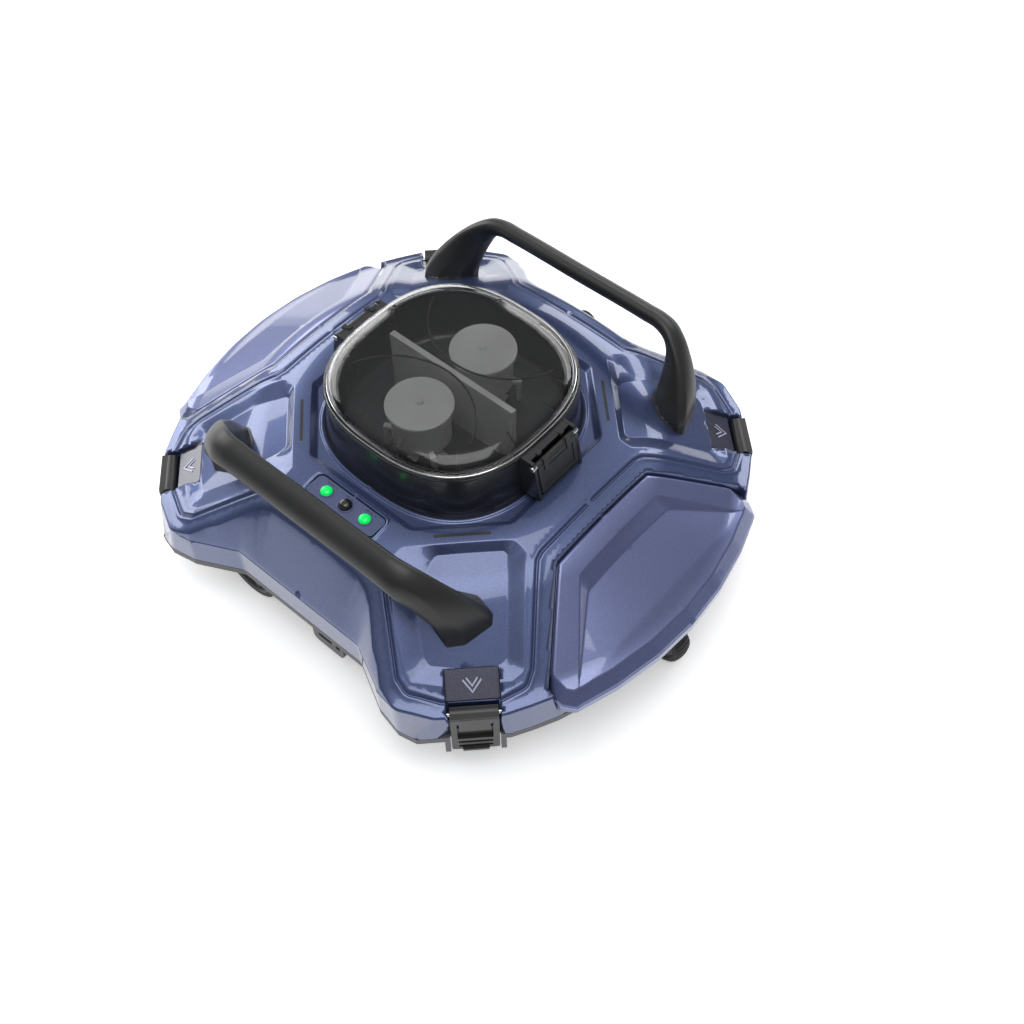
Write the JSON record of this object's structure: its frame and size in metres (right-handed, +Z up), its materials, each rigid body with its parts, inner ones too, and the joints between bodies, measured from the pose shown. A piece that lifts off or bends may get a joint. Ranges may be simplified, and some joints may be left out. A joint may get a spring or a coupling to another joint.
{
  "type": "robotic pool cleaner",
  "caption": "Cordless robotic pool cleaner with a domed clipped cover, a smoky pump pod, carry handles, outlet flaps, side wheels, a steering wheel and a filtered debris tray.",
  "frame": {"origin": "on the floor under the middle of the object", "axes": "+X to the steering wheel end, +Y to the left side, +Z up"},
  "size_m": [0.432, 0.368, 0.165],
  "materials": {
    "navy_paint": "metallic navy paint under clear coat",
    "gloss_black": "gloss black",
    "handle_black": "satin black",
    "clip_black": "satin black",
    "bed_tint": "dark tinted gloss",
    "smoky_lid": "smoky clear plastic",
    "grey_plastic": "moulded grey",
    "white_plastic": "moulded white",
    "flap_rubber": "moulded rubber",
    "seal_rubber": "moulded rubber",
    "tyre_rubber": "moulded tread",
    "base_grey": "textured charcoal plastic",
    "panel_paint": "light blue-grey gloss",
    "green_lens": "lit green lens",
    "battery_case": "moulded",
    "circuit_board": "soldermask",
    "foam": "closed-cell foam",
    "steel": "stainless"
  },
  "bodies": {
    "base": {"bottom_shell": "base_grey", "debris_tray": "base_grey", "tray_wall": "base_grey", "flap_posts": "base_grey", "clip_guards": "base_grey", "shell_seal": "seal_rubber", "intake_plate": "base_grey", "intake_screws": "steel", "filter_frame": "base_grey", "filter_screen": "white_plastic", "intake_pins": "steel", "side_guides": "base_grey", "side_axles": "steel"},
    "cover": {"top_shell": "navy_paint", "wing_cover_front": "navy_paint", "wing_cover_rear": "navy_paint", "wing_floats": "foam", "pod_housing": "gloss_black", "pod_lid": "smoky_lid", "pod_gasket": "seal_rubber", "pod_partition": "grey_plastic", "outlet_duct_front": "gloss_black", "outlet_duct_rear": "gloss_black", "outlet_pins": "steel", "motor_left": "grey_plastic", "motor_right": "grey_plastic", "battery_pack": "battery_case", "control_board": "circuit_board", "control_panel": "panel_paint", "status_lights": "green_lens", "handle_left": "handle_black", "handle_right": "handle_black", "clip_pins": "steel", "clip_beds": "bed_tint", "charge_socket": "gloss_black"},
    "clip_front_left": {"clip_front_left": "clip_black"},
    "clip_rear_left": {"clip_rear_left": "clip_black"},
    "clip_rear_right": {"clip_rear_right": "clip_black"},
    "clip_front_right": {"clip_front_right": "clip_black"},
    "outlet_flap_front": {"outlet_flap_front": "flap_rubber"},
    "outlet_flap_rear": {"outlet_flap_rear": "flap_rubber"},
    "impeller_left": {"impeller_left": "white_plastic"},
    "impeller_right": {"impeller_right": "white_plastic"},
    "power_button": {"power_button": "gloss_black"},
    "charge_plug": {"charge_plug": "seal_rubber"},
    "intake_flap_front": {"intake_flap_front": "flap_rubber"},
    "intake_flap_rear": {"intake_flap_rear": "flap_rubber"},
    "side_wheel_left": {"side_hub_left": "base_grey", "side_tyre_left": "tyre_rubber"},
    "side_wheel_right": {"side_hub_right": "base_grey", "side_tyre_right": "tyre_rubber"},
    "steering": {"steering_fork": "base_grey", "steering_axle": "steel"},
    "steering_wheel": {"steering_hub": "base_grey", "steering_tyre": "tyre_rubber"}
  },
  "joints": [
    {"name": "cover_lift", "type": "slide", "parent": "base", "child": "cover", "axis": [0, 0, 1], "range_m": [0, 0.12]},
    {"name": "clip_front_left_swing", "type": "hinge", "parent": "cover", "child": "clip_front_left", "pos_m": [0.1489, 0.1489, 0.064], "axis": [0.7071, -0.7071, 0], "range_deg": [0, 100]},
    {"name": "clip_rear_left_swing", "type": "hinge", "parent": "cover", "child": "clip_rear_left", "pos_m": [-0.1489, 0.1489, 0.064], "axis": [0.7071, 0.7071, 0], "range_deg": [0, 100]},
    {"name": "clip_rear_right_swing", "type": "hinge", "parent": "cover", "child": "clip_rear_right", "pos_m": [-0.1489, -0.1489, 0.064], "axis": [-0.7071, 0.7071, 0], "range_deg": [0, 100]},
    {"name": "clip_front_right_swing", "type": "hinge", "parent": "cover", "child": "clip_front_right", "pos_m": [0.1489, -0.1489, 0.064], "axis": [-0.7071, -0.7071, 0], "range_deg": [0, 100]},
    {"name": "outlet_flap_front_swing", "type": "hinge", "parent": "cover", "child": "outlet_flap_front", "pos_m": [0.09126, 0, 0.147], "axis": [0, -1, 0], "range_deg": [0, 50]},
    {"name": "outlet_flap_rear_swing", "type": "hinge", "parent": "cover", "child": "outlet_flap_rear", "pos_m": [-0.09126, 0, 0.147], "axis": [0, 1, 0], "range_deg": [0, 50]},
    {"name": "impeller_left_spin", "type": "hinge", "parent": "cover", "child": "impeller_left", "pos_m": [0, 0.0325, 0.114], "axis": [0, 0, 1], "continuous": true},
    {"name": "impeller_right_spin", "type": "hinge", "parent": "cover", "child": "impeller_right", "pos_m": [0, -0.0325, 0.114], "axis": [0, 0, 1], "continuous": true},
    {"name": "power_button_press", "type": "slide", "parent": "cover", "child": "power_button", "axis": [0, 0, -1], "range_m": [0, 0.0015], "stiffness_N_per_m": 400, "springref_m": -0.002},
    {"name": "charge_plug_pull", "type": "slide", "parent": "cover", "child": "charge_plug", "axis": [0, 1, 0], "range_m": [0, 0.03]},
    {"name": "intake_flap_front_swing", "type": "hinge", "parent": "base", "child": "intake_flap_front", "pos_m": [0.0465, 0, 0.02], "axis": [0, -1, 0], "range_deg": [0, 35]},
    {"name": "intake_flap_rear_swing", "type": "hinge", "parent": "base", "child": "intake_flap_rear", "pos_m": [-0.0465, 0, 0.02], "axis": [0, 1, 0], "range_deg": [0, 35]},
    {"name": "side_wheel_left_spin", "type": "hinge", "parent": "base", "child": "side_wheel_left", "pos_m": [-0.067, 0.151, 0.026], "axis": [0, 1, 0], "continuous": true},
    {"name": "side_wheel_right_spin", "type": "hinge", "parent": "base", "child": "side_wheel_right", "pos_m": [-0.067, -0.151, 0.026], "axis": [0, 1, 0], "continuous": true},
    {"name": "steering_yaw", "type": "hinge", "parent": "base", "child": "steering", "pos_m": [0.168, 0, 0.04], "axis": [0, 0, 1], "range_deg": [-40, 40]},
    {"name": "steering_wheel_spin", "type": "hinge", "parent": "steering", "child": "steering_wheel", "pos_m": [0.196, 0, 0.018], "axis": [0, 1, 0], "continuous": true}
  ]
}
